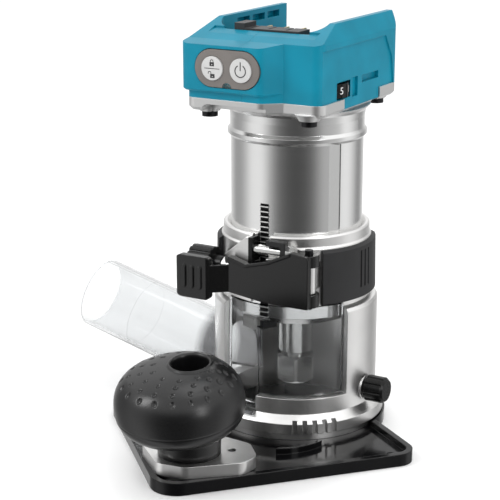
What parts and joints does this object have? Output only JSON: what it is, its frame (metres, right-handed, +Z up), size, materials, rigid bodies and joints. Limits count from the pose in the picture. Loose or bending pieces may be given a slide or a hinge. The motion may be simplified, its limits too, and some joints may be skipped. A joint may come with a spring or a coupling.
{
  "type": "trim router",
  "caption": "Cordless trim router: turned motor barrel with rack depth setting clamped in a cast base, clear chip guard, dust nozzle and a side plate with a rubber ball grip.",
  "frame": {"origin": "centre of the bit opening in the plane of the sole, on the spindle axis", "axes": "+X to the right of someone facing the switch panel, +Y from the panel to the battery bay, +Z up along the spindle"},
  "size_m": [0.2021, 0.1743, 0.205],
  "materials": {
    "barrel_aluminium": "turned and polished, fine rings",
    "cast_aluminium": "die cast, fine shot-blasted grain",
    "teal_plastic": "fine moulded texture",
    "grey_plastic": "satin moulded",
    "dark_grey_plastic": "glass-filled moulded",
    "light_grey_plastic": "satin moulded",
    "white_key": "soft membrane",
    "black_plastic": "satin moulded",
    "lever_plastic": "semi-gloss moulded",
    "sole_plastic": "glossy moulded",
    "pad_rubber": "matt elastomer",
    "knob_rubber": "matt elastomer",
    "clear_plastic": "clear polycarbonate",
    "lamp_lens": "clear lens",
    "black_steel": "black oxide",
    "bearing_steel": "ground steel",
    "stator_steel": "laminated steel",
    "terminal_brass": "stamped brass",
    "circuit_board": "potted board"
  },
  "bodies": {
    "base": {"base_casting": "cast_aluminium", "grip_pad_right": "pad_rubber", "grip_pad_left": "pad_rubber", "base_plate": "sole_plastic", "base_plate_screws": "black_steel", "bracket_screws": "black_steel", "grip_bracket": "cast_aluminium", "grip_knob": "knob_rubber", "knob_bolt": "bearing_steel", "knob_washer": "bearing_steel", "knob_nut": "bearing_steel", "chip_deflector": "clear_plastic", "dust_nozzle": "clear_plastic", "lever_pin": "black_steel", "tie_bolt": "bearing_steel", "tie_nut": "bearing_steel", "clamp_bridge": "lever_plastic", "slot_liner": "black_plastic"},
    "motor": {"motor_barrel": "barrel_aluminium", "motor_rack": "black_steel", "housing_left": "teal_plastic", "housing_right": "teal_plastic", "housing_screws": "black_steel", "switch_panel": "grey_plastic", "panel_lamp": "lamp_lens", "switch_board": "circuit_board", "dial_sensor": "black_plastic", "battery_terminal_block": "dark_grey_plastic", "battery_terminals": "terminal_brass", "stator": "stator_steel", "lower_bearing": "bearing_steel", "upper_bearing": "bearing_steel", "bearing_retainer": "bearing_steel", "upper_bearing_bridge": "dark_grey_plastic", "control_board": "circuit_board", "work_lamps": "lamp_lens", "shaft_lock_guide": "dark_grey_plastic"},
    "spindle": {"spindle_shaft": "bearing_steel", "rotor_core": "stator_steel", "cooling_fan": "dark_grey_plastic", "collet": "bearing_steel", "collet_nut": "bearing_steel"},
    "lock_key": {"lock_button": "white_key"},
    "power_key": {"power_button": "white_key"},
    "dial": {"speed_dial": "black_plastic"},
    "shaft_lock": {"shaft_lock_button": "light_grey_plastic"},
    "lever": {"clamp_lever": "lever_plastic"},
    "depth_adjuster": {"pinion_shaft": "bearing_steel", "depth_knob": "black_plastic"},
    "guide_clamp": {"guide_screw": "black_plastic"}
  },
  "joints": [
    {"name": "depth_slide", "type": "slide", "parent": "base", "child": "motor", "axis": [0, 0, 1], "range_m": [-0.03, 0.015]},
    {"name": "depth_pinion", "type": "hinge", "parent": "base", "child": "depth_adjuster", "pos_m": [0, -0.03578, 0.086], "axis": [1, 0, 0], "range_deg": [-550, 276]},
    {"name": "spindle_spin", "type": "hinge", "parent": "motor", "child": "spindle", "pos_m": [0, 0, 0.066], "axis": [0, 0, 1], "continuous": true},
    {"name": "lever_swing", "type": "hinge", "parent": "base", "child": "lever", "pos_m": [0.0265, -0.037, 0.086], "axis": [0, 0, 1], "range_deg": [0, 110]},
    {"name": "dial_turn", "type": "hinge", "parent": "motor", "child": "dial", "pos_m": [0.0256, -0.019, 0.1742], "axis": [0, 0, 1], "range_deg": [-200, 50]},
    {"name": "lock_press", "type": "slide", "parent": "motor", "child": "lock_key", "axis": [0, 1, 0], "range_m": [0, 0.0006], "stiffness_N_per_m": 2500},
    {"name": "power_press", "type": "slide", "parent": "motor", "child": "power_key", "axis": [0, 1, 0], "range_m": [0, 0.0006], "stiffness_N_per_m": 2500},
    {"name": "shaft_lock_press", "type": "slide", "parent": "motor", "child": "shaft_lock", "axis": [0.4384, 0.8988, 0], "range_m": [0, 0.0024], "stiffness_N_per_m": 1500},
    {"name": "guide_turn", "type": "hinge", "parent": "base", "child": "guide_clamp", "pos_m": [0.04, -0.002, 0.023], "axis": [1, 0, 0], "range_deg": [-720, 0]}
  ],
  "couplings": [
    {"joint": "depth_pinion", "follows": "depth_slide", "rad_per_m": 314.16}
  ]
}
